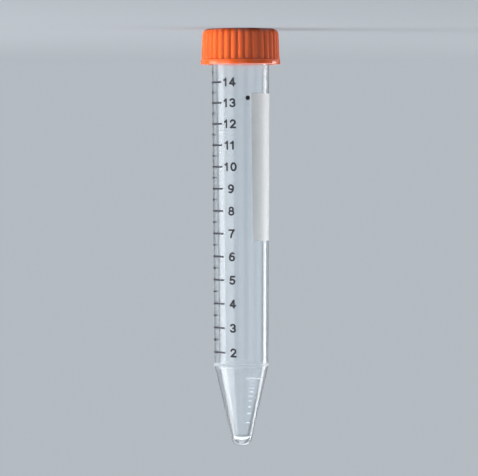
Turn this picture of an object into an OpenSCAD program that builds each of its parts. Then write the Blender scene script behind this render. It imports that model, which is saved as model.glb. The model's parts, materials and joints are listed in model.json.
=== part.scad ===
// A 15 ml conical centrifuge tube with a plug-seal screw cap and a printed scale.
//
// Every part is drawn upright on the Z axis, with the tube's tip at zero. Angles of the print
// are counted from the front, which is -Y, and grow towards +X. The round tip can't stand and
// the tube would roll on its side, so stood_on_cap() then turns the closed tube over, onto the
// flat top of its cap. The threads are left out: the neck and the skirt keep their room.

/* [Tube] */
// Length of the tube, from its tip to its rim
tube_len = 118.6; // [95:0.1:145]
// Outside diameter of the neck, and of the body just under the cap
body_d = 16.5; // [13.5:0.1:20]
// Draft of the body's outside, in degrees
body_draft = 0.32; // [0:0.02:0.5]
// Thickness of the wall at the rim
rim_wall = 0.77; // [0.6:0.02:1]
// Draft of the bore, in degrees
bore_draft = 0.5; // [0:0.02:0.6]
// Radius of the rounded edges of the rim
rim_round = 0.25; // [0.1:0.05:0.28]

/* [Cone] */
// Height of the cone, from the tip to the shoulder
cone_h = 23.1; // [18:0.1:29]
// Diameter at which the cone's side meets the plane of the tip
tip_d = 5; // [4.2:0.1:6.5]
// Thickness of the cone's wall
cone_wall = 0.9; // [0.7:0.05:1.1]
// Thickness of the floor at the tip
floor_t = 1.8; // [1.4:0.1:2.4]
// Radius of the round at the outside of the tip
tip_round = 2.6; // [1:0.1:3]
// Radius of the round at the bottom of the well
well_round = 1.8; // [0.6:0.1:2.2]
// Height of the ring around the shoulder
ring_h = 0.8; // [0.5:0.1:1.2]
// How far the ring stands proud of the shoulder
ring_proud = 0.12; // [0.06:0.02:0.2]

/* [Cap] */
// Height of the cap
cap_h = 10.2; // [8.5:0.1:12.5]
// Thickness of the cap's top
cap_top_t = 1.35; // [1:0.05:1.8]
// Room between the neck and the skirt, for the threads
thread_room = 1.15; // [0.9:0.05:1.5]
// Thickness of the skirt between its bore and the valleys of the ribs
skirt_wall = 1.45; // [1.1:0.05:2]
// Number of grip ribs
rib_count = 34; // [28:1:44]
// Depth of the valleys between the ribs
rib_depth = 0.42; // [0.3:0.02:0.5]
// Draft of the ribs, in degrees
rib_draft = 2; // [0.5:0.1:2.5]
// How far the cap is turned on from where a rib faces the front, in degrees
cap_turn = 1.2; // [-5:0.1:5]
// Height of the plain band below the ribs
band_h = 1.5; // [1:0.1:2.5]
// How far the band stands proud of the ribs
band_proud = 0.13; // [0.05:0.01:0.25]
// Radius of the shoulder around the cap's top
cap_round = 1.6; // [1.2:0.1:1.9]

/* [Seal] */
// Gap between the rim and the seat inside the cap
seat_gap = 0.05; // [0.02:0.01:0.1]
// Clearance between the plug's sealing bead and the bore
plug_gap = 0.08; // [0.05:0.01:0.12]
// Length of the plug below the seat
plug_len = 3.2; // [2.4:0.1:4]
// Thickness of the plug's wall
plug_wall = 0.9; // [0.7:0.05:1.2]

/* [Print] */
// Thickness of the ink
ink_t = 0.05; // [0.04:0.01:0.1]
// Lowest volume on the scale, in ml
scale_from = 2; // [2:1:4]
// Highest volume on the scale, in ml
scale_to = 14.5; // [10:0.5:14.5]
// Height of a scale line
line_h = 0.5; // [0.3:0.05:0.6]
// Angle at which the scale lines start
line_start = -106; // [-120:1:-95]
// Angle at which the whole-ml lines end, halfway up the body
major_end = -39.5; // [-55:0.5:-35]
// Angle at which the half-ml lines end, halfway up the body
minor_end = -68.5; // [-80:0.5:-62]
// Turn of the print for each mm down the tube, in degrees
print_skew = 0.075; // [0:0.005:0.12]
// Height of the writing patch
patch_h = 42.2; // [30:0.1:45]
// Distance from the cap's rim down to the patch
patch_drop = 8.4; // [6:0.1:12]
// Angle of the patch's left edge, halfway up it
patch_start = 23.5; // [15:0.5:35]
// Angle that the patch spans
patch_span = 95; // [80:1:110]
// Diameter of the dot beside the patch
dot_d = 1.3; // [1:0.1:1.8]
// Angle of the dot
dot_angle = 14.2; // [10:0.1:14.5]

/* [Hidden] */
$fn = 96;
ARC_STEPS = 8;          // chords in each rounded corner of a profile
TOUCH = 0.01;           // step between two surfaces that would otherwise coincide
OVER = 1;               // how far a cutter runs past what it cuts
EDGE_ROUND = 0.2;       // radius of the small rounds on the cap's band and plug
BEAD_START = 30;        // angle at which the round of the plug's bead starts, above its middle
VALLEY_FILL = 0.2;      // share of the valleys' depth that the drum behind the ribs fills
LEAST_FLAT = 0.05;      // share of a floor's radius that its round has to leave flat
INK_SPARE = 12;         // angle by which a band of ink runs past the outline that trims it

// heights along the axis
seat_z = tube_len + seat_gap;
closed_len = seat_z + cap_top_t;
cap_z = closed_len - cap_h;
ring_mid_z = cone_h + ring_h / 2;
body_mid_z = (cone_h + cap_z) / 2;

// the body's outside
neck_r = body_d / 2;
shoulder_r = body_side_r(cone_h);
cone_slope = (shoulder_r - tip_d / 2) / cone_h;
cone_angle = atan(cone_slope);
ring_arc_r = (pow(ring_h / 2, 2) + pow(ring_proud, 2)) / (2 * ring_proud);
ring_arc_c = shoulder_r + ring_proud - ring_arc_r;
tip_arc_r = fitted_round(tip_d / 2, tip_round);
tip_arc_c = corner_centre(tip_d / 2, tip_arc_r);

// the bore
mouth_r = neck_r - rim_wall;
well_tip_r = tip_d / 2 - cone_wall / cos(cone_angle) + floor_t * cone_slope;
well_arc_r = fitted_round(well_tip_r, well_round);
well_arc_c = corner_centre(well_tip_r, well_arc_r);
well_top_z = floor_t + well_arc_r * (1 + sin(cone_angle));
bore_bend_z = (mouth_r - tube_len * tan(bore_draft) - tip_d / 2 + cone_wall / cos(cone_angle))
    / (cone_slope - tan(bore_draft));

// the cap
skirt_r = neck_r + thread_room;
valley_r = skirt_r + skirt_wall;
crest_r = valley_r + rib_depth;
band_r = crest_r + band_proud;
plug_r = bore_r(seat_z - plug_len) - plug_gap;
plug_root_r = plug_r - 2 * plug_gap;
plug_in_r = plug_r - plug_wall;

// Radius of the body's drafted side at a height
function body_side_r(z) = neck_r - (cap_z - z) * tan(body_draft);

// Radius of the tube's outside at a height, without its ring and rounded corners
function outside_r(z) = z < cone_h ? tip_d / 2 + z * cone_slope : min(neck_r, body_side_r(z));

// Radius of the tube's inside at a height
function bore_r(z) = z < well_top_z
    ? well_arc_c + sqrt(max(0, pow(well_arc_r, 2) - pow(floor_t + well_arc_r - z, 2)))
    : min(
        well_tip_r + (z - floor_t) * cone_slope,
        mouth_r - (tube_len - z) * tan(bore_draft));

// Distance from the axis to the centre of a round that joins a floor to the cone's side,
// where the side would meet that floor at radius r
function corner_centre(r, round_r) = r + round_r * (cone_slope - 1 / cos(cone_angle));

// A round for such a floor, held back where the whole floor would be too small for it
function fitted_round(r, round_r) =
    min(round_r, r * (1 - LEAST_FLAT) / (1 / cos(cone_angle) - cone_slope));

// How far the ribs lean in by a height above the cap's rim
function rib_draft_in(h) = (h - band_h) * tan(rib_draft);

// Points of an arc in a profile, from angle a0 to a1
function arc(x, z, r, a0, a1, steps = ARC_STEPS) =
    [for (i = [0:steps]) let (a = a0 + (a1 - a0) * i / steps) [x + r * cos(a), z + r * sin(a)]];

// Volume in ml that the tube holds up to a height, summed over thin discs
function volume_to(z, discs = 80) =
    let (
        step = (z - floor_t) / discs,
        squares = [for (i = [0:discs - 1]) pow(bore_r(floor_t + (i + 0.5) * step), 2)],
        ones = [for (i = [0:discs - 1]) 1]
    ) squares * ones * PI * step / 1000;

// Height at which the tube holds a volume, found by halving the span that holds it
function level(ml, low = floor_t, high = tube_len, halvings = 20) =
    let (mid = (low + high) / 2)
    halvings == 0 ? mid
    : volume_to(mid) < ml ? level(ml, mid, high, halvings - 1)
    : level(ml, low, mid, halvings - 1);

// Turn of the print at a height
function skew_at(z) = (body_mid_z - z) * print_skew;

// Turns what is drawn upright over, onto the cap's top, with its front still towards -Y
module stood_on_cap() {
    translate([0, 0, closed_len])
        rotate([0, 180, 0])
            children();
}

// The tube, moulded in one piece: one closed profile turned about the axis
module tube() {
    ring_sweep = asin(ring_h / 2 / ring_arc_r);
    outside = concat(
        [[0, 0]],
        arc(tip_arc_c, tip_arc_r, tip_arc_r, -90, -cone_angle),
        arc(ring_arc_c, ring_mid_z, ring_arc_r, -ring_sweep, ring_sweep),
        [[neck_r, cap_z]],
        arc(neck_r - rim_round, tube_len - rim_round, rim_round, 0, 90));
    inside = concat(
        arc(mouth_r + rim_round, tube_len - rim_round, rim_round, 90, 180),
        [[bore_r(bore_bend_z), bore_bend_z]],
        arc(well_arc_c, floor_t + well_arc_r, well_arc_r, -cone_angle, -90),
        [[0, floor_t]]);
    color([0.80, 0.88, 0.94, 0.45])
        rotate_extrude()
            polygon(concat(outside, inside));
}

// One grip rib: a round rod that leans in by the draft
module rib(rod_r) {
    translate([crest_r - rod_r, 0, band_h / 2])
        rotate([0, -rib_draft, 0])
            translate([0, 0, -band_h / 2])
                cylinder(r = rod_r, h = cap_h + OVER);
}

// The ribs' envelope: a drafted drum with a rounded shoulder, at a distance inside the crests
module drum(inset) {
    foot_r = crest_r - inset;
    head_r = foot_r - rib_draft_in(cap_h);
    round_r = cap_round - inset;
    rotate_extrude()
        polygon(concat(
            [[0, 0], [foot_r, 0], [foot_r, band_h]],
            arc(head_r - round_r, cap_h - round_r, round_r, 0, 90),
            [[0, cap_h]]));
}

// The solid inside the skirt that is cut away: the thread's room, the seat and the plug's well
module cap_cavity() {
    seat_h = cap_h - cap_top_t;
    foot_z = seat_h - plug_len;
    bead_r = EDGE_ROUND * 2;
    rotate_extrude()
        polygon(concat(
            [[0, -OVER], [skirt_r + EDGE_ROUND, -OVER], [skirt_r + EDGE_ROUND, 0]],
            [[skirt_r, EDGE_ROUND * 2], [skirt_r, seat_h], [plug_root_r, seat_h]],
            arc(plug_r - bead_r, foot_z + bead_r, bead_r, BEAD_START, -90),
            [[plug_in_r + EDGE_ROUND, foot_z], [plug_in_r, foot_z + EDGE_ROUND]],
            [[plug_in_r, seat_h], [0, seat_h]]));
}

// The screw cap, moulded in one piece: ribs on a drum, a plain band, and a plug seal inside
module cap() {
    chord = cos(180 / rib_count);
    rod_r = (pow(valley_r, 2) + pow(crest_r, 2) - 2 * valley_r * crest_r * chord)
        / (2 * (crest_r - valley_r * chord));
    color([0.91, 0.33, 0.13])
        translate([0, 0, cap_z])
            difference() {
                union() {
                    drum(rib_depth * (1 - VALLEY_FILL));
                    intersection() {
                        union()
                            for (i = [0:rib_count - 1])
                                rotate([0, 0, cap_turn - 90 + i * 360 / rib_count])
                                    rib(rod_r);
                        drum(-TOUCH);
                    }
                    rotate_extrude()
                        polygon(concat(
                            [[0, 0]],
                            arc(band_r - EDGE_ROUND, EDGE_ROUND, EDGE_ROUND, -90, 0),
                            arc(band_r - EDGE_ROUND, band_h - EDGE_ROUND, EDGE_ROUND, 0, 90),
                            [[0, band_h]]));
                }
                cap_cavity();
            }
}

// A band of ink on the body between two heights, from one angle to another
module ink_band(z0, z1, from, to) {
    foot = outside_r(z0) + TOUCH;
    head = outside_r(z1) + TOUCH;
    rotate([0, 0, from - 90])
        rotate_extrude(angle = to - from)
            polygon([[foot, z0], [foot + ink_t, z0], [head + ink_t, z1], [head, z1]]);
}

// The black print: a line at every half ml, longer at whole ml, and a dot by the patch
module scale_print() {
    color([0.08, 0.08, 0.10]) {
        for (ml = [scale_from:0.5:scale_to]) {
            z = level(ml);
            end = ml == floor(ml) ? major_end : minor_end;
            if (z < cap_z - line_h)
                ink_band(z - line_h / 2, z + line_h / 2,
                    line_start + skew_at(z), end + skew_at(z));
        }
        dot_z = cap_z - patch_drop - dot_d;
        intersection() {
            ink_band(dot_z - dot_d, dot_z + dot_d,
                dot_angle - INK_SPARE, dot_angle + INK_SPARE);
            rotate([90, 0, dot_angle])
                translate([0, dot_z, 0])
                    cylinder(d = dot_d, h = body_d);
        }
    }
}

// The white patch for writing on: a band of ink, trimmed to an outline that leans with the print
module writing_patch() {
    top_z = cap_z - patch_drop;
    mid_z = top_z - patch_h / 2;
    mid_angle = patch_start + patch_span / 2;
    reach = patch_span / 2 + INK_SPARE;
    half_w = outside_r(mid_z) * sin(patch_span / 2);
    lean = patch_h / 2 * print_skew * PI / 180 * outside_r(mid_z);
    color([0.93, 0.93, 0.90])
        intersection() {
            ink_band(mid_z - patch_h / 2, top_z, mid_angle - reach, mid_angle + reach);
            rotate([90, 0, mid_angle])
                linear_extrude(body_d)
                    translate([0, mid_z])
                        polygon([
                            [-half_w + lean, -patch_h], [half_w + lean, -patch_h],
                            [half_w - lean, patch_h], [-half_w - lean, patch_h]]);
        }
}

stood_on_cap() tube();
stood_on_cap() cap();
stood_on_cap() scale_print();
stood_on_cap() writing_patch();
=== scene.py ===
# %% [markdown]
# # A 15 ml conical tube, stood on its cap
#
# The real thing is two mouldings and some ink: a clear tube with a conical end, and an orange
# screw cap with a plug seal. The tube's tip is round and the closed tube rolls on its side, so
# it stands upside down, on the flat top of its cap. The camera is turned over with it, and sees
# the cap at the top of the picture.
#
# Everything below is drawn as if the tube stood on its tip: a point is a radius, an angle and a
# height, and one function places it in the frame that the solid model gives.

# %% Load the frame
import json
import bpy
import numpy as np
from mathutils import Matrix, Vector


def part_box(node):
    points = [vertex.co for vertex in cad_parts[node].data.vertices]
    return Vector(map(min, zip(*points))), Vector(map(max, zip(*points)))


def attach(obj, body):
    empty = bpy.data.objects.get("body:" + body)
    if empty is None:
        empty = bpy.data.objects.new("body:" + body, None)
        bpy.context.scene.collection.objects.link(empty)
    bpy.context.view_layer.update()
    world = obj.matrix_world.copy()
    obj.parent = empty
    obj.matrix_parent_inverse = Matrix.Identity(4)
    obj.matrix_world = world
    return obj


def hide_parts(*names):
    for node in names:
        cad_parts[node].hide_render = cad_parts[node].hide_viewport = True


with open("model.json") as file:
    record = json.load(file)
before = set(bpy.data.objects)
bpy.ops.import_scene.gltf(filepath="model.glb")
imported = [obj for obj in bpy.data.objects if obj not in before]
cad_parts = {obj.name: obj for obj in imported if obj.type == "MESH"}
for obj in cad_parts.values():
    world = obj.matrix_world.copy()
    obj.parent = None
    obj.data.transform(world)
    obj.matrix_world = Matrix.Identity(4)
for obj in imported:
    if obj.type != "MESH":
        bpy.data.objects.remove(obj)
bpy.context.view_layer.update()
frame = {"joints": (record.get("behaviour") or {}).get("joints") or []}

# %% [markdown]
# ## Where a point lies
#
# The solid model's joint says which way the tube points. Its axis runs from the cap to the tip,
# so "up the tube", from tip to cap, is the other way. The front is the middle of the printed
# scale. Angles grow from the front towards the right, as seen with the cap on top.

# %% The tube's own directions
MM = 0.001

up = -np.array(frame["joints"][0]["axis"], float)
front = np.array([0.0, -1.0, 0.0])
right = np.cross(up, front)
tip = np.array([0.0, 0.0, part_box("tube")[1].z])


def place(radius, angle, height):
    """Tip + height along the tube + radius towards the angle: radius x (sine to the right, cosine
    to the front). Millimetres and degrees go in, and metres in the row's frame come out."""
    turn = np.radians(angle)
    radius, turn, height = np.broadcast_arrays(radius, turn, height)
    return tip + MM * (
        (radius * np.sin(turn))[..., None] * right
        + (radius * np.cos(turn))[..., None] * front
        + height[..., None] * up
    )


print("tip at", tip, "right is", right)

# %% [markdown]
# ## The sizes
#
# The outside sizes are the same as the solid model's, written out again here, and the neck's and the
# band's radius are printed beside the solid model's. The drafts, walls and rounds that a box
# doesn't show are repeated here too, in millimetres.

# %% Sizes of the tube and the cap
TUBE_LEN = 118.6
NECK_R = 8.25
BODY_DRAFT = 0.32
RIM_WALL = 0.77
BORE_DRAFT = 0.5
RIM_ROUND = 0.25
CONE_H = 23.1
TIP_R = 2.5
CONE_WALL = 0.9
FLOOR_T = 1.8
TIP_ROUND = 2.6
WELL_ROUND = 1.8
RING_H = 0.8
RING_PROUD = 0.12

CAP_H = 10.2
CAP_TOP_T = 1.35
THREAD_ROOM = 1.15
SKIRT_WALL = 1.45
RIBS = 34
CAP_TURN = 1.2
RIB_DEPTH = 0.42
RIB_DRAFT = 2.0
BAND_H = 1.5
BAND_PROUD = 0.13
CAP_ROUND = 1.6
EDGE_ROUND = 0.2
SEAT_GAP = 0.05
PLUG_GAP = 0.08
PLUG_LEN = 3.2
PLUG_WALL = 0.9

seat_z = TUBE_LEN + SEAT_GAP
top_z = seat_z + CAP_TOP_T
cap_z = top_z - CAP_H
skirt_r = NECK_R + THREAD_ROOM
valley_r = skirt_r + SKIRT_WALL
crest_r = valley_r + RIB_DEPTH
band_r = crest_r + BAND_PROUD

for node, radius in (("tube", NECK_R), ("cap", band_r)):
    low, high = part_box(node)
    print(node, "radius, mm: CAD", round(500 * (high.x - low.x), 3), "here", round(radius, 3))

# %% [markdown]
# ## The tube's section
#
# A moulded tube has draft: the core and the cavity both narrow away from the mouth, so that the
# part comes off. The wall is therefore two slightly different cones, and each printed volume
# lies where the bore really holds it. Both sides are written as a radius at a height, because
# the print, the marks and the mesh all need the same surface.

# %% The outside and the bore
def tan(degrees):
    return np.tan(np.radians(degrees))


shoulder_r = NECK_R - (cap_z - CONE_H) * tan(BODY_DRAFT)
cone_slope = (shoulder_r - TIP_R) / CONE_H
cone_angle = np.degrees(np.arctan(cone_slope))
side_lean = 1 / np.cos(np.radians(cone_angle))
mouth_r = NECK_R - RIM_WALL
well_r = TIP_R - CONE_WALL * side_lean + FLOOR_T * cone_slope


def round_centre(radius, size):
    """Where a round of this size has its centre, if it joins a flat floor to the cone's side:
    radius + size x (slope - 1 / cosine of the cone's half angle)."""
    return radius + size * (cone_slope - side_lean)


def outside_r(z):
    """The cone's straight side below the shoulder, the body's drafted side above it, and the
    plain neck inside the cap."""
    body = NECK_R - np.maximum(cap_z - z, 0) * tan(BODY_DRAFT)
    return np.where(z < CONE_H, TIP_R + z * cone_slope, body)


def bore_r(z):
    """The smaller of the cone's wall and the drafted bore, with a round at the well's floor."""
    wall = np.minimum(
        well_r + (z - FLOOR_T) * cone_slope, mouth_r - (TUBE_LEN - z) * tan(BORE_DRAFT)
    )
    drop = FLOOR_T + WELL_ROUND - z
    in_round = drop > -WELL_ROUND * np.sin(np.radians(cone_angle))
    rounded = round_centre(well_r, WELL_ROUND) + np.sqrt(np.maximum(WELL_ROUND**2 - drop**2, 0))
    return np.where(in_round, rounded, wall)


# the volume up to each height is the sum of thin discs, in ml
DISCS = 4000
MM3_PER_ML = 1000

disc_z = np.linspace(FLOOR_T, TUBE_LEN, DISCS)
disc_ml = np.cumsum(np.pi * bore_r(disc_z) ** 2) * (disc_z[1] - disc_z[0]) / MM3_PER_ML


def level(ml):
    """The height at which the tube holds this volume, read from the discs' running sum."""
    return np.interp(ml, disc_ml, disc_z)


print("holds", round(float(disc_ml[-1]), 2), "ml; 5 ml stands at", round(float(level(5)), 2), "mm")

# %% [markdown]
# ## Two ways to make a surface
#
# A moulding of revolution is a grid: rows follow the section, columns go round the axis. The
# first and last row shrink to a point on the axis, which closes the skin. Blender's Screw or
# Spin could turn a section too, but a grid of our own lets ribs, threads and raised marks be
# added to the radius before the mesh exists.

# %% From arrays to a piece
SHARP_ANGLE = 32


def new_piece(name, points, *faces):
    """A mesh object from points in metres and arrays of faces, one array for each number of
    corners. Its edges shade sharp where two faces meet at more than SHARP_ANGLE degrees."""
    mesh = bpy.data.meshes.new(name)
    corners = np.concatenate([group.ravel() for group in faces])
    sizes = np.concatenate([np.full(len(group), group.shape[1]) for group in faces])
    mesh.vertices.add(len(points))
    mesh.loops.add(len(corners))
    mesh.polygons.add(len(sizes))
    mesh.vertices.foreach_set("co", points.astype(np.float32).ravel())
    mesh.polygons.foreach_set("loop_start", np.cumsum(sizes) - sizes)
    mesh.loops.foreach_set("vertex_index", corners)
    mesh.update(calc_edges=True)
    mesh.validate()
    mesh.shade_smooth()
    mesh.set_sharp_from_angle(angle=np.radians(SHARP_ANGLE))
    piece = bpy.data.objects.new(name, mesh)
    bpy.context.collection.objects.link(piece)
    triangles = int((sizes - 2).sum())
    print(f"{name}: {len(points)} points, {triangles} triangles")
    return piece


def turned(name, radius, height, angles):
    """A closed skin from a section turned round the axis. radius and height are rows x columns;
    the first and the last row are the two poles, and keep one point each."""
    radius, height = (np.broadcast_to(a, (len(radius), len(angles))) for a in (radius, height))
    rows, columns = len(radius) - 2, len(angles)
    ends = place(0.0, 0.0, np.array([height[0, 0], height[-1, 0]]))
    points = np.vstack([place(radius[1:-1], angles, height[1:-1]).reshape(-1, 3), ends])
    ring = np.arange(rows * columns).reshape(rows, columns)
    ahead = np.roll(ring, -1, axis=1)
    quads = np.stack([ring[:-1], ahead[:-1], ahead[1:], ring[1:]], axis=-1).reshape(-1, 4)
    pole = np.full(columns, rows * columns)
    start = np.stack([pole, ahead[0], ring[0]], axis=-1)
    end = np.stack([ring[-1], ahead[-1], pole + 1], axis=-1)
    return new_piece(name, points, quads, np.vstack([start, end]))


# %% [markdown]
# A section is a chain of straight stretches and arcs. A stretch gathers its points towards its
# ends, so that a long flat face keeps its own shading right up to the round beside it.

# %% Stretches and arcs of a section
def stretch(r0, z0, r1, z1, steps):
    """Points from one end to the other, at shares (1 - cosine) / 2 of the way."""
    share = (1 - np.cos(np.pi * np.linspace(0, 1, steps + 1))) / 2
    return np.stack([r0 + (r1 - r0) * share, z0 + (z1 - z0) * share], axis=-1)


def arc(r, z, size, start, end, steps=8):
    """Points on a circle of this size about (r, z), from one angle to another."""
    turn = np.radians(np.linspace(start, end, steps + 1))
    return np.stack([r + size * np.cos(turn), z + size * np.sin(turn)], axis=-1)


def chain(*parts):
    """One section from several, without the points that two neighbours share."""
    section = np.concatenate(parts)
    step = np.linalg.norm(np.diff(section, axis=0), axis=1)
    return section[np.concatenate([[True], step > 1e-6])]


# %% [markdown]
# ## Threads
#
# The cap turns on with a coarse right-handed thread of less than two turns. Each ridge is a
# trapezium carried along a helix. Unrolled, a helix is a slanted line, so the ridge's height at
# any point of the grid comes from how far that point lies above or below the line.

# %% A ridge along a helix
THREAD_PITCH = 3.0
THREAD_TURNS = 1.75
THREAD_START = 111.5
THREAD_DEPTH = 0.85
THREAD_BASE, THREAD_TOP = 1.5, 0.6
THREAD_FADE = 25


def ridge(angle, z, start, base, top, depth):
    """depth x a clamped ramp over the distance to the helix, for each turn, faded over
    THREAD_FADE degrees at both ends of the thread. The helix is at start + pitch x turns made so
    far, and the ridge is base wide at its foot and top wide at its crest."""
    angle = np.mod(angle, 360)
    height = np.zeros(np.broadcast(angle, z).shape)
    for whole in range(int(np.ceil(THREAD_TURNS))):
        turned_by = angle / 360 + whole
        off = np.abs(z - start - THREAD_PITCH * turned_by)
        flank = np.clip((base / 2 - off) / ((base - top) / 2), 0, 1)
        from_end = np.minimum(turned_by, THREAD_TURNS - turned_by) * 360
        fade = np.clip(from_end / THREAD_FADE, 0, 1)
        height = np.maximum(height, depth * flank * fade)
    return height


print("thread: pitch", THREAD_PITCH, "mm,", THREAD_TURNS, "turns, from", THREAD_START, "mm up")

# %% [markdown]
# ## Numerals
#
# The scale's numbers are printed, and two small figures are moulded on the cone. Both are drawn
# with the same pen: a numeral is every point nearer than half a pen's width to its strokes. A
# ready-made font would do for the print, but not for raising the plastic itself, and these are
# plain generic figures that belong to nobody.

# %% The strokes of each numeral
def bow(x, y, width, height, start, end, steps=20):
    """Points on an upright ellipse, from one angle to another."""
    turn = np.radians(np.linspace(start, end, steps + 1))
    return np.stack([x + width * np.cos(turn), y + height * np.sin(turn)], axis=-1)


def path(*parts):
    """One stroke from points and bows, one after the other."""
    return np.vstack([np.atleast_2d(part) for part in parts])


# in heights of a numeral, which is 0.72 wide unless it is narrow; the pen's middle stays
# 0.1 inside
NUMERAL_W = 0.72
NARROW = {"1": 0.57, ".": 0.2}
STROKES = {
    ".": [path((0.1, 0.1), (0.1, 0.11))],
    "0": [bow(0.36, 0.5, 0.26, 0.4, 0, 360, 36)],
    "1": [path((0.02, 0.71), (0.16, 0.77), (0.26, 0.9), (0.26, 0.1))],
    "2": [path(bow(0.355, 0.66, 0.25, 0.24, 165, -30), (0.11, 0.1), (0.63, 0.1))],
    "3": [bow(0.34, 0.7, 0.235, 0.2, 155, -85), bow(0.34, 0.305, 0.265, 0.205, 85, -155)],
    "4": [path((0.47, 0.9), (0.09, 0.32), (0.66, 0.32)), path((0.49, 0.9), (0.49, 0.1))],
    "5": [path((0.6, 0.9), (0.2, 0.9), (0.145, 0.5), bow(0.345, 0.34, 0.265, 0.24, 130, -150))],
    "6": [bow(0.36, 0.335, 0.255, 0.235, 0, 360, 36), bow(0.425, 0.4, 0.32, 0.5, 65, 185)],
    "7": [path((0.09, 0.9), (0.63, 0.9), (0.46, 0.65), (0.34, 0.38), (0.285, 0.1))],
    "8": [bow(0.36, 0.7, 0.21, 0.2, 0, 360, 36), bow(0.36, 0.305, 0.26, 0.205, 0, 360, 36)],
}
STROKES["9"] = [np.array([NUMERAL_W, 1.0]) - stroke for stroke in STROKES["6"]]


def pen_distance(x, y, strokes):
    """How far each point is from the nearest stroke: the distance to P + t (Q - P) for each
    stretch from P to Q, where t is the foot of the perpendicular, held between 0 and 1."""
    ends = np.concatenate([np.hstack([stroke[:-1], stroke[1:]]) for stroke in strokes])
    px, py, qx, qy = ends.T
    x, y = x[..., None], y[..., None]
    dx, dy = qx - px, qy - py
    t = np.clip(((x - px) * dx + (y - py) * dy) / (dx**2 + dy**2), 0, 1)
    return np.hypot(x - px - t * dx, y - py - t * dy).min(axis=-1)


def strokes_of(word, gap=0.1):
    """The strokes of several numerals in a row, centred on the origin, one height tall."""
    steps = [NARROW.get(numeral, NUMERAL_W) + gap for numeral in word]
    starts = np.cumsum(steps) - steps - (sum(steps) - gap) / 2
    return [s + (x, -0.5) for x, numeral in zip(starts, word) for s in STROKES[numeral]]


print("numerals drawn:", "".join(sorted(STROKES)))

# %% [markdown]
# ## The tube
#
# One moulding: cone, ring at the shoulder, body, neck with its thread, rim, and the bore on the
# inside. The cone carries raised marks for the first millilitre, cut into the mould as shallow
# grooves. They are part of the skin: rows and columns crowd together where the marks are, and
# the marks push the surface out.
#
# The mould is polished, except in the marks and on the ring. Each point therefore also carries a
# number that says how frosted it is, and the finish reads that number later. A second material
# on some faces would do too, but its edge could only follow the faces.

# %% The raised marks on the cone
MARK_ML = np.arange(1, 11) / 10
MARK_H = 0.4
MARK_PROUD = 0.18
MARK_SOFT = 0.13
MARK_LEFT, MARK_RIGHT = 19.0, 33.0
LONG_LEFT, LONG_RIGHT = 10.0, 97.0
FIGURES = {1.0: "1", 0.5: ".5"}
FIGURE_H = 1.3
FIGURE_PEN = 0.13
FIGURE_SOFT = 0.06
FIGURE_AT = 45.0


def raised(angle, z):
    """How far the marks push the cone out. A bar is proud x the smaller of two soft ramps, one
    down its height and one along its length; a figure is proud x a soft ramp about its pen."""
    arc_mm = np.radians(angle) * outside_r(z)
    proud = np.zeros(arc_mm.shape)
    for ml, mark_z in zip(MARK_ML, level(MARK_ML)):
        ends = (LONG_LEFT, LONG_RIGHT) if ml == MARK_ML[-1] else (MARK_LEFT, MARK_RIGHT)
        low, high = np.radians(ends) * outside_r(mark_z)
        inside = np.minimum(MARK_H / 2 - np.abs(z - mark_z), np.minimum(arc_mm - low, high - arc_mm))
        proud = np.maximum(proud, np.clip(inside / MARK_SOFT, 0, 1))
        if float(ml) in FIGURES:
            x = np.radians(angle - FIGURE_AT) * outside_r(z) / FIGURE_H
            y = (z - mark_z + (FIGURE_H if ml == MARK_ML[-1] else 0)) / FIGURE_H
            away = FIGURE_H * pen_distance(x, y, strokes_of(FIGURES[float(ml)]))
            foot = FIGURE_PEN / 2 + FIGURE_SOFT
            proud = np.maximum(proud, np.clip((foot - away) / FIGURE_SOFT, 0, 1))
    return MARK_PROUD * proud


print("marks at", np.round(level(MARK_ML), 1), "mm")

# %% [markdown]
# The grid's rows are the points of one section, from the tip's middle over the outside to the
# rim, and down the bore to the well. They lie close together at the marks, the figures and the
# thread, and far apart on the plain wall, because a grid that is fine enough for a mark all over
# would have millions of faces. The columns crowd at the marks in the same way.

# %% Rows and columns of the tube
MARK_REACH = 0.26
FIGURE_REACH, FIGURE_STEP = 0.75, 0.05
THREAD_ROWS = 66
ROW_GAP, COLUMN_GAP = 0.02, 0.2
WELL_TOP = 4.2
COLUMN_STEP, MARK_COLUMN_STEP = 2.0, 0.55

tip_c, well_c = round_centre(TIP_R, TIP_ROUND), round_centre(well_r, WELL_ROUND)
bend_z = (well_r - FLOOR_T * cone_slope - mouth_r + TUBE_LEN * tan(BORE_DRAFT)) / (
    tan(BORE_DRAFT) - cone_slope
)

mark_rows = (level(MARK_ML)[:, None] + np.linspace(-MARK_REACH, MARK_REACH, 11)).ravel()
about_figure = np.arange(-FIGURE_REACH, FIGURE_REACH, FIGURE_STEP)
figure_rows = np.concatenate([level(0.5) + about_figure, level(1.0) - FIGURE_H + about_figure])
plain_rows = np.linspace(TIP_ROUND * 0.9, CONE_H - 0.05, 40)
cone_rows = np.sort(np.concatenate([mark_rows, figure_rows, plain_rows]))
cone_rows = cone_rows[np.concatenate([[True], np.diff(cone_rows) > ROW_GAP])]
thread_end = THREAD_START + THREAD_PITCH * THREAD_TURNS
thread_rows = np.linspace(cap_z + 0.8, thread_end + 0.9, THREAD_ROWS)

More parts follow.
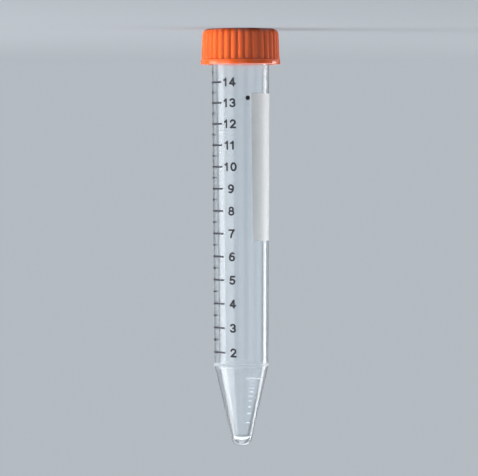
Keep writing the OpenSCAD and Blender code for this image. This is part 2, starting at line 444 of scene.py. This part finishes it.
tube_section = chain(
    stretch(0, 0, tip_c, 0, 5),
    arc(tip_c, TIP_ROUND, TIP_ROUND, -90, -cone_angle, 10),
    np.stack([outside_r(cone_rows), cone_rows], axis=-1),
    arc(shoulder_r, CONE_H + RING_PROUD, RING_PROUD, -90, 0, 5),
    arc(shoulder_r, CONE_H + RING_H - RING_PROUD, RING_PROUD, 0, 90, 5),
    stretch(outside_r(CONE_H + RING_H), CONE_H + RING_H, NECK_R, cap_z, 32),
    np.stack([np.full(THREAD_ROWS, NECK_R), thread_rows], axis=-1),
    stretch(NECK_R, thread_rows[-1], NECK_R, TUBE_LEN - RIM_ROUND, 3),
    arc(NECK_R - RIM_ROUND, TUBE_LEN - RIM_ROUND, RIM_ROUND, 0, 90, 6),
    arc(mouth_r + RIM_ROUND, TUBE_LEN - RIM_ROUND, RIM_ROUND, 90, 180, 6),
    stretch(mouth_r, TUBE_LEN - RIM_ROUND, float(bore_r(bend_z)), bend_z, 30),
    stretch(float(bore_r(bend_z)), bend_z, float(bore_r(WELL_TOP)), WELL_TOP, 14),
    arc(well_c, FLOOR_T + WELL_ROUND, WELL_ROUND, -cone_angle, -90, 8),
    stretch(well_c, FLOOR_T, 0, FLOOR_T, 3),
)
mark_columns = np.arange(LONG_LEFT - 1, FIGURE_AT + 12, MARK_COLUMN_STEP)
columns = np.sort(np.concatenate([np.arange(0, 360, COLUMN_STEP), mark_columns]))
columns = columns[np.concatenate([[True], np.diff(columns) > COLUMN_GAP])]
print("tube grid:", len(tube_section), "rows x", len(columns), "columns")

# %% [markdown]
# The marks push the cone's outside out, and the ridge of the thread pushes the neck's. After that
# the skin is turned in one go, and the frost is stored on its points.

# %% Turn the tube
outer = np.arange(len(tube_section)) <= np.argmax(tube_section[:, 1])
section_r, section_z = tube_section[:, :1], tube_section[:, 1:]
on_cone = outer[:, None] & (section_z > TIP_ROUND) & (section_z < CONE_H)
on_neck = outer[:, None] & (section_z > cap_z) & (section_z < TUBE_LEN - RIM_ROUND)
push = np.where(on_cone, raised(columns[None, :], section_z), 0)
thread = ridge(
    columns[None, :], section_z, THREAD_START, THREAD_BASE, THREAD_TOP, THREAD_DEPTH
)
push = push + np.where(on_neck, thread, 0)
tube = turned("tube_clear", section_r + push, section_z, columns)

# how frosted each point is: 1 on the ring, less on the marks' faces, 0 on the polished rest
MARK_FROST = 0.4
on_ring = outer[:, None] & (np.abs(section_z - CONE_H - RING_H / 2) < RING_H / 2 - 0.01)
frost = np.where(on_cone, MARK_FROST * push / MARK_PROUD, on_ring * np.ones(len(columns)))
values = np.concatenate([frost[1:-1].ravel(), [0, 0]])
tube.data.attributes.new("frost", "FLOAT", "POINT").data.foreach_set("value", values)
print("frosted points:", int((values > 0).sum()))

# %% [markdown]
# ## The cap
#
# Thirty-four grip ribs stand round a drum. On the real cap each rib is the trace of a round
# cutter in the mould, so its section is a circle's arc that meets its neighbours in a narrow
# valley, and its top runs out over the cap's shoulder in a scallop. A rib is worked out as a
# share: 1 on the crest's own section, 0 on the valley's, and the surface lies that far between
# the two.

# %% The ribs' share
half_rib = 180 / RIBS
cos_half = np.cos(np.radians(half_rib))
rod_r = (valley_r**2 + crest_r**2 - 2 * valley_r * crest_r * cos_half) / (
    2 * (crest_r - valley_r * cos_half)
)
RIB_COLUMNS = 14
VALLEY_FILL = 0.12

step = np.linspace(-1, 1, RIB_COLUMNS, endpoint=False)
in_rib = half_rib * np.sin(step * np.pi / 2)
rib_middle = CAP_TURN + np.arange(RIBS) * 2 * half_rib
cap_angles = (rib_middle[:, None] + in_rib).ravel()

centre = crest_r - rod_r
turn = np.radians(in_rib)
rod = centre * np.cos(turn) + np.sqrt(rod_r**2 - (centre * np.sin(turn)) ** 2)
share = np.clip((rod - valley_r) / RIB_DEPTH, VALLEY_FILL, 1)
share = np.tile((share - VALLEY_FILL) / (1 - VALLEY_FILL), RIBS)
print("ribs:", RIBS, "of radius", round(rod_r, 2), "mm")

# %% [markdown]
# The cap's section runs from the middle of its ceiling down the plug seal's inside and up its
# outside, down the skirt with its thread, round the foot and up the band. The plug ends in a
# round bead, which on the real cap seals against the tube's bore. Crest and valley part above the
# band, and meet again in the middle of the flat top.

# %% Rows of the cap
PLUG_CORNER = 0.3

ceiling_h = CAP_H - CAP_TOP_T
foot_h = ceiling_h - PLUG_LEN
plug_r = float(bore_r(seat_z - PLUG_LEN)) - PLUG_GAP
plug_side_r = plug_r - 2 * PLUG_GAP
plug_in_r = plug_r - PLUG_WALL
bead_r = 2 * EDGE_ROUND
core_r = crest_r - RIB_DEPTH * (1 - VALLEY_FILL)
INNER_ROWS = 60

inside_section = chain(
    stretch(0, ceiling_h, plug_in_r - PLUG_CORNER, ceiling_h, 4),
    arc(plug_in_r - PLUG_CORNER, ceiling_h - PLUG_CORNER, PLUG_CORNER, 90, 0, 5),
    stretch(plug_in_r, ceiling_h - PLUG_CORNER, plug_in_r, foot_h + EDGE_ROUND, 5),
    arc(plug_in_r + EDGE_ROUND, foot_h + EDGE_ROUND, EDGE_ROUND, 180, 270, 4),
    arc(plug_r - bead_r, foot_h + bead_r, bead_r, -90, 30, 8),
    stretch(plug_side_r, foot_h + 2.5 * bead_r, plug_side_r, ceiling_h, 4),
    stretch(plug_side_r, ceiling_h, skirt_r, ceiling_h, 5),
    np.stack([np.full(INNER_ROWS, skirt_r), np.linspace(ceiling_h - 0.1, 0.6, INNER_ROWS)], axis=-1),
    stretch(skirt_r, 2 * EDGE_ROUND, skirt_r + EDGE_ROUND, 0, 2),
    stretch(skirt_r + EDGE_ROUND, 0, band_r - EDGE_ROUND, 0, 4),
    arc(band_r - EDGE_ROUND, EDGE_ROUND, EDGE_ROUND, -90, 0, 6),
    arc(band_r - EDGE_ROUND, BAND_H - EDGE_ROUND, EDGE_ROUND, 0, 90, 6),
)


def outer_section(radius, size):
    """The cap's outside above the band, as one rib's crest or as a valley: a side that leans in
    by the draft, a round shoulder of this size, and the flat top."""
    head = radius - (CAP_H - BAND_H) * tan(RIB_DRAFT)
    return chain(
        stretch(radius, BAND_H, head + size * tan(RIB_DRAFT), CAP_H - size, 14),
        arc(head - size, CAP_H - size, size, 0, 90, 14),
        stretch(head - size, CAP_H, 0, CAP_H, 6),
    )


crest = outer_section(crest_r, CAP_ROUND)
valley = outer_section(core_r, CAP_ROUND - (crest_r - core_r))
print("cap grid:", len(inside_section) + len(crest), "rows x", len(cap_angles), "columns")

# %% [markdown]
# The cap's thread is the same helix, half a pitch on, so that its ridge lies between the tube's.

# %% Turn the cap
CAP_THREAD_DEPTH = 0.8
CAP_THREAD_BASE, CAP_THREAD_TOP = 1.3, 0.5

ribbed = valley[:, None, :] + share[None, :, None] * (crest - valley)[:, None, :]
inner = np.repeat(inside_section[:, None, :], len(cap_angles), axis=1)
on_skirt = (inner[..., 0] == skirt_r) & (inner[..., 1] < ceiling_h) & (inner[..., 1] > 0.5)
cap_thread_start = THREAD_START + THREAD_PITCH / 2 - cap_z
inward = ridge(
    cap_angles[None, :],
    inner[..., 1],
    cap_thread_start,
    CAP_THREAD_BASE,
    CAP_THREAD_TOP,
    CAP_THREAD_DEPTH,
)
inner[..., 0] -= np.where(on_skirt, inward, 0)
grid = np.concatenate([inner, ribbed])
cap = turned("cap_orange", grid[..., 0], cap_z + grid[..., 1], cap_angles)

# %% [markdown]
# ## The print
#
# Ink is a skin a few hundredths of a millimetre thick, screen-printed as the tube turns under
# the screen. Each shape is first a flat sheet of squares, in millimetres along and up the wall,
# and is then thickened into a closed slab and bent round the body, with the slight slant that
# the real print has.

# %% Flat sheets, thickened and bent
INK_T = 0.05
INK_LIFT = 0.01
PRINT_SKEW = 0.075
middle_z = (CONE_H + cap_z) / 2


def sheet(x, z):
    """Points on a grid of places along and up the wall, and the squares between them."""
    index = np.arange(len(x) * len(z)).reshape(len(z), len(x))
    squares = np.stack([index[:-1, :-1], index[:-1, 1:], index[1:, 1:], index[1:, :-1]], axis=-1)
    across, along = np.meshgrid(x, z)
    return np.stack([across.ravel(), along.ravel()], axis=-1), squares.reshape(-1, 4)


def printed(name, sheets):
    """One piece of ink from several flat sheets. Angle = x / radius + skew x how far down the
    tube; the top layer is the sheet, the bottom layer its mirror, and a wall closes each edge
    that only one square has."""
    flat, squares, count = [], [], 0
    for points, faces in sheets:
        flat.append(points)
        squares.append(faces + count)
        count += len(points)
    flat, squares = np.vstack(flat), np.vstack(squares)
    wall = outside_r(flat[:, 1])
    angle = np.degrees(flat[:, 0] / wall) + (middle_z - flat[:, 1]) * PRINT_SKEW
    layers = [place(wall + lift, angle, flat[:, 1]) for lift in (INK_LIFT + INK_T, INK_LIFT)]
    start, end = squares.ravel(), np.roll(squares, -1, axis=1).ravel()
    shared = np.isin(start * count + end, end * count + start)
    start, end = start[~shared], end[~shared]
    sides = np.stack([end, start, start + count, end + count], axis=-1)
    return new_piece(name, np.vstack(layers), squares, squares[:, ::-1] + count, sides)


# %% [markdown]
# The lines stand at every half millilitre. Whole ones are longer. They start beyond the left
# edge of the tube, as seen from the front.

# %% The scale's lines and the dot
LINE_H = 0.5
LINE_START, MAJOR_END, MINOR_END = -106.0, -39.5, -68.5
DOT_D, DOT_ANGLE = 1.3, 14.2
PATCH_DROP = 8.4

lines = []
for ml in np.arange(2, 15, 0.5):
    z = float(level(ml))
    ends = np.radians([LINE_START, MAJOR_END if ml == int(ml) else MINOR_END]) * outside_r(z)
    lines.append(sheet(np.linspace(ends[0], ends[1], 24), z + np.linspace(-0.5, 0.5, 3) * LINE_H))

dot_z = cap_z - PATCH_DROP - DOT_D
dot_x = np.radians(DOT_ANGLE - (middle_z - dot_z) * PRINT_SKEW) * float(outside_r(dot_z))
dot_points, dot_squares = sheet(np.linspace(-1, 1, 13), np.linspace(-1, 1, 13))
stretched = np.abs(dot_points).max(axis=1) / np.maximum(np.hypot(*dot_points.T), 1e-9)
dot_points = dot_points * stretched[:, None] * DOT_D / 2 + (dot_x, dot_z)
scale = printed("scale_lines", lines + [(dot_points, dot_squares)])

# %% [markdown]
# A numeral starts as a fine sheet. The squares whose middle is under the pen are kept, and the
# points on the border of what is kept slide along the distance's own slope until they lie
# exactly half a pen's width from the stroke. That gives a clean outline with few points, and
# squares that bend well.

# %% The scale's numbers
NUMBER_H = 2.6
NUMBER_PEN = 0.2
NUMBER_ANGLE = -20.2
CELL = 0.024
HALF_SHEET = 0.65
NUDGE = 1e-4


def numeral_sheet(word, x, z):
    """The part of a fine sheet that lies under the pen, with its border moved onto the outline:
    each border point goes by (half a pen - distance) along the distance's slope."""
    strokes = strokes_of(word)
    reach = max(float(np.abs(s[:, 0]).max()) for s in strokes) + NUMBER_PEN
    points, squares = sheet(np.arange(-reach, reach, CELL), np.arange(-HALF_SHEET, HALF_SHEET, CELL))
    away = lambda p: pen_distance(p[:, 0], p[:, 1], strokes)
    squares = squares[away(points[squares].mean(axis=1)) < NUMBER_PEN / 2]
    start, end = squares.ravel(), np.roll(squares, -1, axis=1).ravel()
    size = len(points)
    border = np.unique(start[~np.isin(start * size + end, end * size + start)])
    edge = points[border]
    nudges = NUDGE * np.eye(2)
    slope = np.stack([away(edge + n) - away(edge - n) for n in nudges], axis=-1)
    slope /= np.maximum(np.linalg.norm(slope, axis=1, keepdims=True), 1e-9)
    points[border] += slope * (NUMBER_PEN / 2 - away(edge))[:, None]
    used, faces = np.unique(squares, return_inverse=True)
    return points[used] * NUMBER_H + (x, z), faces.reshape(-1, 4)


numbers = []
for ml in range(2, 15):
    z = float(level(ml))
    x = np.radians(NUMBER_ANGLE) * float(outside_r(z))
    numbers.append(numeral_sheet(str(ml), x, z))
numerals = printed("scale_numbers", numbers)

# %% [markdown]
# The writing patch is a field of white ink that takes a pen. It wraps past the right edge.

# %% The writing patch
PATCH_H = 42.2
PATCH_START, PATCH_SPAN = 23.5, 95.0

patch_mid = cap_z - PATCH_DROP - PATCH_H / 2
patch_r = float(outside_r(patch_mid))
patch_x = np.radians([PATCH_START, PATCH_START + PATCH_SPAN]) * patch_r
patch = printed(
    "writing_patch_ink",
    [sheet(np.linspace(*patch_x, 80), patch_mid + np.linspace(-0.5, 0.5, 60) * PATCH_H)],
)

# %% [markdown]
# ## Finishes
#
# A finish is a short recipe of nodes. One class wraps a socket so that sums and products can be
# written as they are thought, and one method makes every other node.

# %% A socket that can be reckoned with
class Value:
    """A number on its way between two shader nodes. +, -, * and / on it add Math nodes."""

    def __init__(self, tree, socket):
        self.tree, self.socket = tree, socket

    def _math(self, operation, first, second):
        node = self.tree.nodes.new("ShaderNodeMath")
        node.operation = operation
        for entry, value in zip(node.inputs, (first, second)):
            connect(self.tree, entry, value)
        return Value(self.tree, node.outputs[0])

    def __add__(self, other):
        return self._math("ADD", self, other)

    def __sub__(self, other):
        return self._math("SUBTRACT", self, other)

    def __rsub__(self, other):
        return self._math("SUBTRACT", other, self)

    def __mul__(self, other):
        return self._math("MULTIPLY", self, other)

    def __truediv__(self, other):
        return self._math("DIVIDE", self, other)

    def __rtruediv__(self, other):
        return self._math("DIVIDE", other, self)

    __radd__, __rmul__ = __add__, __mul__


def connect(tree, entry, value):
    """Puts a wrapped socket's link or a plain value on an input socket."""
    if isinstance(value, Value):
        tree.links.new(value.socket, entry)
    else:
        entry.default_value = value


class Recipe:
    """The node tree of one finish or of the world."""

    def __init__(self, owner):
        owner.use_nodes = True
        self.tree = owner.node_tree
        self.tree.nodes.clear()

    def node(self, kind, settings=None, out=0, **sockets):
        """Makes a node: first its settings, then each socket's value or link, and returns an
        output. A socket is named by its label with _ for spaces, or by its number, as in_6."""
        node = self.tree.nodes.new(kind)
        for name, value in (settings or {}).items():
            setattr(node, name, value)
        for name, value in sockets.items():
            key = int(name[3:]) if name.startswith("in_") else name.replace("_", " ")
            connect(self.tree, node.inputs[key], value)
        return Value(self.tree, node.outputs[out]) if len(node.outputs) else None

    def place(self):
        return self.node("ShaderNodeTexCoord", out=3)

    def noise(self, scale, detail=2.0, stretch_by=(1, 1, 1)):
        """Noise from 0 to 1 with features about 1 / scale metres long."""
        spread = tuple(scale * s for s in stretch_by)
        where = self.node("ShaderNodeMapping", Vector=self.place(), Scale=spread)
        return self.node("ShaderNodeTexNoise", Vector=where, Scale=1.0, Detail=detail)

    def mix(self, factor, first, second):
        """A colour between two colours."""
        return self.node(
            "ShaderNodeMix", {"data_type": "RGBA"}, out=2, in_0=factor, in_6=first, in_7=second
        )

    def bump(self, height, strength, distance, normal=None):
        more = {} if normal is None else {"Normal": normal}
        return self.node(
            "ShaderNodeBump", Height=height, Strength=strength, Distance=distance, **more
        )


def finish_of(name):
    material = bpy.data.materials.new(name)
    return material, Recipe(material)


# %% [markdown]
# ### Clear plastic
#
# The tube is clear with a faint haze. A Principled shader with nearly full transmission bends
# light at each of the four walls. The haze is a little of the shader's own diffuse colour, left by
# a transmission just under one, and a roughness that softens what is seen through the walls. The
# frosted marks and ring are rougher still. A slow bump gives the walls the slight waviness that
# mouldings have. Lamps would find a closed dark room inside any glass, so shadow rays pass
# through a transparent shader.

# %% Clear plastic
def clear_plastic():
    material, r = finish_of("plastic, clear")
    ripple = r.noise(90, 2.0, (1, 1, 0.15))
    grain = r.noise(9000, 2.0)
    frost = r.node("ShaderNodeAttribute", {"attribute_name": "frost"}, out=2)
    normal = r.bump(ripple, 0.02, 0.0001)
    glass = r.node(
        "ShaderNodeBsdfPrincipled",
        Base_Color=(0.93, 0.955, 0.975, 1),
        Roughness=0.1 + 0.03 * grain + 0.3 * frost,
        IOR=1.53,
        Transmission_Weight=0.955,
        Normal=normal,
    )
    through = r.node("ShaderNodeBsdfTransparent", Color=(0.9, 0.93, 0.95, 1))
    shadow_ray = r.node("ShaderNodeLightPath", out=1)
    both = r.node("ShaderNodeMixShader", in_0=shadow_ray, in_1=glass, in_2=through)
    r.node("ShaderNodeOutputMaterial", Surface=both)
    return material


# %% [markdown]
# ### Orange plastic
#
# The cap is moulded in a tough, slightly waxy plastic: light goes a little way in, which keeps
# the shaded sides of the ribs warm. A fine grain dulls the gloss, and a broad faint change of
# colour keeps the top from looking painted. The specular level is a little above the usual, so
# that each rib keeps a highlight of its own.

# %% Orange plastic
def orange_plastic():
    material, r = finish_of("plastic, orange")
    broad = r.noise(60, 2.0)
    grain = r.noise(4200, 3.0)
    flow = r.noise(500, 2.0, (1, 1, 0.2))
    colour = r.mix(broad, (0.82, 0.105, 0.008, 1), (0.87, 0.135, 0.014, 1))
    normal = r.bump(grain, 0.15, 0.00003)
    r.node(
        "ShaderNodeOutputMaterial",
        Surface=r.node(
            "ShaderNodeBsdfPrincipled",
            Base_Color=colour,
            Roughness=0.09 + 0.06 * grain + 0.04 * flow,
            IOR=1.5,
            Specular_IOR_Level=0.8,
            Subsurface_Weight=0.12,
            Subsurface_Radius=(0.0016, 0.0005, 0.0002),
            Subsurface_Scale=1.0,
            Normal=normal,
        ),
    )
    return material


# %% [markdown]
# ### Inks
#
# Screen-printed ink is nearly matt. The screen's mesh leaves a fine regular grain, and the black
# lets a trace of light through where it lies thin. The white is thicker, and a little mottled.

# %% Inks
def ink(name, thin, thick, roughness, seep):
    material, r = finish_of(name)
    cloud = r.noise(900, 3.0)
    mesh = r.noise(9000, 1.0)
    r.node(
        "ShaderNodeOutputMaterial",
        Surface=r.node(
            "ShaderNodeBsdfPrincipled",
            Base_Color=r.mix(cloud, thin, thick),
            Roughness=roughness + 0.15 * mesh,
            Subsurface_Weight=seep,
            Subsurface_Radius=(1.0, 1.0, 1.0),
            Subsurface_Scale=0.0002,
            Normal=r.bump(0.6 * mesh + 0.4 * cloud, 0.4, 0.00002),
        ),
    )
    return material


# %% [markdown]
# A piece moves with a body of the solid model, stands in for one of its nodes, which is hidden,
# and takes the finish listed under the name that the record knows it by. Two pieces share the
# print's node, because the lines are solids there and the numbers are too fine for that.

# %% Give each piece its finish and its body
finishes = {
    "clear_plastic": clear_plastic(),
    "orange_plastic": orange_plastic(),
    "black_ink": ink("ink, black", (0.02, 0.022, 0.03, 1), (0.008, 0.008, 0.012, 1), 0.4, 0.0),
    "white_ink": ink("ink, white", (0.84, 0.85, 0.83, 1), (0.91, 0.91, 0.89, 1), 0.35, 0.7),
}
for piece, slot, body, node in (
    (tube, "clear_plastic", "tube", "tube"),
    (cap, "orange_plastic", "cap", "cap"),
    (scale, "black_ink", "tube", "scale_print"),
    (numerals, "black_ink", "tube", "scale_print"),
    (patch, "white_ink", "tube", "writing_patch"),
):
    piece.data.materials.append(finishes[slot])
    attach(piece, body)
    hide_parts(node)
    print(piece.name, "rides on", body, "and stands for", node)

# %% [markdown]
# ## The studio
#
# A plain pale floor runs to the horizon. Round the cap it is paper, which takes light and shadow,
# and further out it fades into just the tone of the room behind it, so that no line shows through
# the clear plastic.
#
# Clear plastic shows by what it bends into view. In an even room its edges would vanish, so this
# one is a ring of eight pale panels with dim gaps between them. The middle of the tube looks
# straight on at a panel, and its edges, which turn the view aside by 10 to 40 degrees, find a gap
# and turn grey. Eight panels do this for any of eight sides that the tube is seen from. Above the
# panels the room grows dusky, which draws the rounds of the tip and the shoulder, and a bright
# ceiling overhead lights them from inside.

# %% The floor and the room
FLOOR_R = 5.0
FLOOR_SIDES = 64
FLOOR_DROP = 0.00002
PAPER = (0.2, 0.21, 0.22, 1)
ROOM = (0.455, 0.495, 0.535, 1)
GLOW = (0.245, 0.27, 0.295, 1)
POOL_IN, POOL_OUT = 0.05, 0.35
ROOM_LIGHT = 0.14
GAP_DEPTH, GAP_EDGE = 0.88, -0.33
DUSK, DUSK_FROM, DUSK_TO = 0.7, 0.12, 0.3
CEILING, CEILING_FROM, CEILING_TO = 3.6, 0.5, 0.8


def ramp(r, value, start, end):
    """0 up to start, 1 from end on, and a straight line between them."""
    gain = 1 / (end - start)
    settings = {"operation": "MULTIPLY_ADD", "use_clamp": True}
    return r.node("ShaderNodeMath", settings, in_0=value, in_1=gain, in_2=-start * gain)


def panels(r, x, y):
    """How much of the room's light comes from over a point or along a direction. (x2 - y2) /
    (x2 + y2) is the cosine of twice its angle, and 2c2 - 1 doubles the angle each time, up to
    eight times. Where that last cosine is below zero there is a gap, with soft edges."""
    across, along = x * x, y * y
    wave = (across - along) / (across + along)
    for _ in range(2):
        wave = 2 * wave * wave - 1
    return 1 - GAP_DEPTH * ramp(r, wave, 0.0, GAP_EDGE)


def strength(r, where, matt):
    """The even tone for the camera, this much of it for matt surfaces, and the panels for what is
    glossy or clear. A ray through glass counts as glossy too, so this asks only for diffuse. The
    panels fade to dusk a little above the horizon, and a bright ceiling hangs overhead."""
    camera, diffuse = (r.node("ShaderNodeLightPath", out=kind) for kind in (0, 2))
    x, y, z = (r.node("ShaderNodeSeparateXYZ", out=axis, Vector=where) for axis in range(3))
    walls = panels(r, x, y) * (1 - DUSK * ramp(r, z, DUSK_FROM, DUSK_TO))
    overhead = CEILING * ramp(r, z, CEILING_FROM, CEILING_TO)
    unseen = diffuse * matt + (1 - diffuse) * (walls + overhead)
    return camera + (1 - camera) * unseen


def pale_floor():
    """A disc just under the cap. Near the cap it is paper, which takes the lamps' light and the
    cap's shadow, and glows a little for what isn't matt. The paper fades into the room's tone
    over the square of the distance from the axis, before it comes near a lamp."""
    turn = np.linspace(0, 2 * np.pi, FLOOR_SIDES, endpoint=False)
    points = np.stack([np.cos(turn), np.sin(turn), 0 * turn], axis=-1) * FLOOR_R
    floor = new_piece("floor", points - (0, 0, FLOOR_DROP), np.arange(FLOOR_SIDES)[None, :])
    material, r = finish_of("paper, pale")
    x, y = (r.node("ShaderNodeSeparateXYZ", out=axis, Vector=r.place()) for axis in (0, 1))
    seen = strength(r, r.place(), 0.0)
    near = r.node(
        "ShaderNodeAddShader",
        in_0=r.node("ShaderNodeBsdfDiffuse", Color=PAPER),
        in_1=r.node("ShaderNodeEmission", Color=GLOW, Strength=seen),
    )
    far = r.node("ShaderNodeEmission", Color=ROOM, Strength=seen)
    away = ramp(r, x * x + y * y, POOL_IN**2, POOL_OUT**2)
    r.node(
        "ShaderNodeOutputMaterial",
        Surface=r.node("ShaderNodeMixShader", in_0=away, in_1=near, in_2=far),
    )
    floor.data.materials.append(material)


def pale_room():
    """The room in which all of this stands: the world's colour."""
    world = bpy.data.worlds.new("pale room")
    bpy.context.scene.world = world
    r = Recipe(world)
    seen = strength(r, r.node("ShaderNodeTexCoord", out=0), ROOM_LIGHT)
    r.node("ShaderNodeOutputWorld", Surface=r.node("ShaderNodeBackground", Color=ROOM, Strength=seen))


pale_floor()
pale_room()

# %% [markdown]
# Two soft lamps do the lighting, a strong one on the left and a weaker one on the right. They
# have no reflection, because two large squares would cover what the tube shows inside. The other
# five are there to be reflected: a wide faint veil on the left, a tall one beside the tube on
# the left for the broad pale band down its wall, a tall narrow one on the right for the white
# line, a wide one beyond the tip for the band down the cone, and one behind it that glints on the
# raised marks.

# %% The lamps
LAMPS_AIM = 60


def lamp(name, angle, height, distance, size, watts, shines=True):
    """A soft rectangular lamp at an angle and height about the tube, facing its axis. One that
    doesn't shine lights the pieces but has no reflection in them."""
    light = bpy.data.lights.new(name, "AREA")
    light.shape = "RECTANGLE"
    light.size, light.size_y = size
    light.energy = watts
    holder = bpy.data.objects.new(name, light)
    bpy.context.collection.objects.link(holder)
    holder.visible_camera = False
    holder.visible_transmission = False
    holder.visible_glossy = shines
    aim = place(0, 0, LAMPS_AIM)
    face(holder, place(distance, angle, height), aim, np.array([0, 0, 1.0]))
    print(name, "lamp:", watts, "W, shines" if shines else "W, doesn't shine")


def face(thing, eye, target, upward):
    """Turns a lamp or a camera at eye to look at target: its z axis runs back from the target,
    its x axis is upward x back, and its y axis is back x x."""
    back = (eye - target) / np.linalg.norm(eye - target)
    across = np.cross(upward, back)
    across /= np.linalg.norm(across)
    matrix = np.eye(4)
    matrix[:3, :3] = np.stack([across, np.cross(back, across), back], axis=-1)
    matrix[:3, 3] = eye
    thing.matrix_world = matrix.T.tolist()


lamp("key", -74, -40, 550, (0.3, 0.6), 5.0, shines=False)
lamp("veil", -52, 0, 550, (0.45, 0.5), 0.9)
lamp("side", 102, -20, 600, (0.45, 0.7), 2.1, shines=False)
lamp("edge", -86, 30, 420, (0.22, 0.5), 1.3)
lamp("strip", 115, 40, 420, (0.15, 0.5), 1.3)
lamp("beyond_tip", -74, -200, 500, (0.7, 0.2), 1.1)
lamp("glints", 150, -400, 400, (0.3, 0.3), 1.2)

# %% [markdown]
# ## The camera
#
# It stands nearly a metre away, level with the upper part of the scale, with a long lens. It is
# turned over, so that the cap is on top, and leans by a fifth of a degree.

# %% The camera
EYE_DISTANCE, EYE_HEIGHT = 932.0, 83.5
LOOK_HEIGHT, LOOK_ACROSS = 59.9, -0.6
FIELD_W = 137.65
SENSOR_W = 36.0
LEAN = 0.19

camera = bpy.data.objects.new("camera", bpy.data.cameras.new("camera"))
bpy.context.collection.objects.link(camera)
camera.data.sensor_width = SENSOR_W
camera.data.lens = SENSOR_W * EYE_DISTANCE / FIELD_W
camera.data.clip_start, camera.data.clip_end = 0.05, 20.0
sideways = LOOK_ACROSS * MM * right
lean = np.radians(LEAN)
face(
    camera,
    place(EYE_DISTANCE, 0, EYE_HEIGHT) + sideways,
    place(0, 0, LOOK_HEIGHT) + sideways,
    np.cos(lean) * up + np.sin(lean) * right,
)
bpy.context.scene.camera = camera
bpy.context.scene.view_settings.view_transform = "Standard"
print("lens", round(camera.data.lens, 1), "mm")
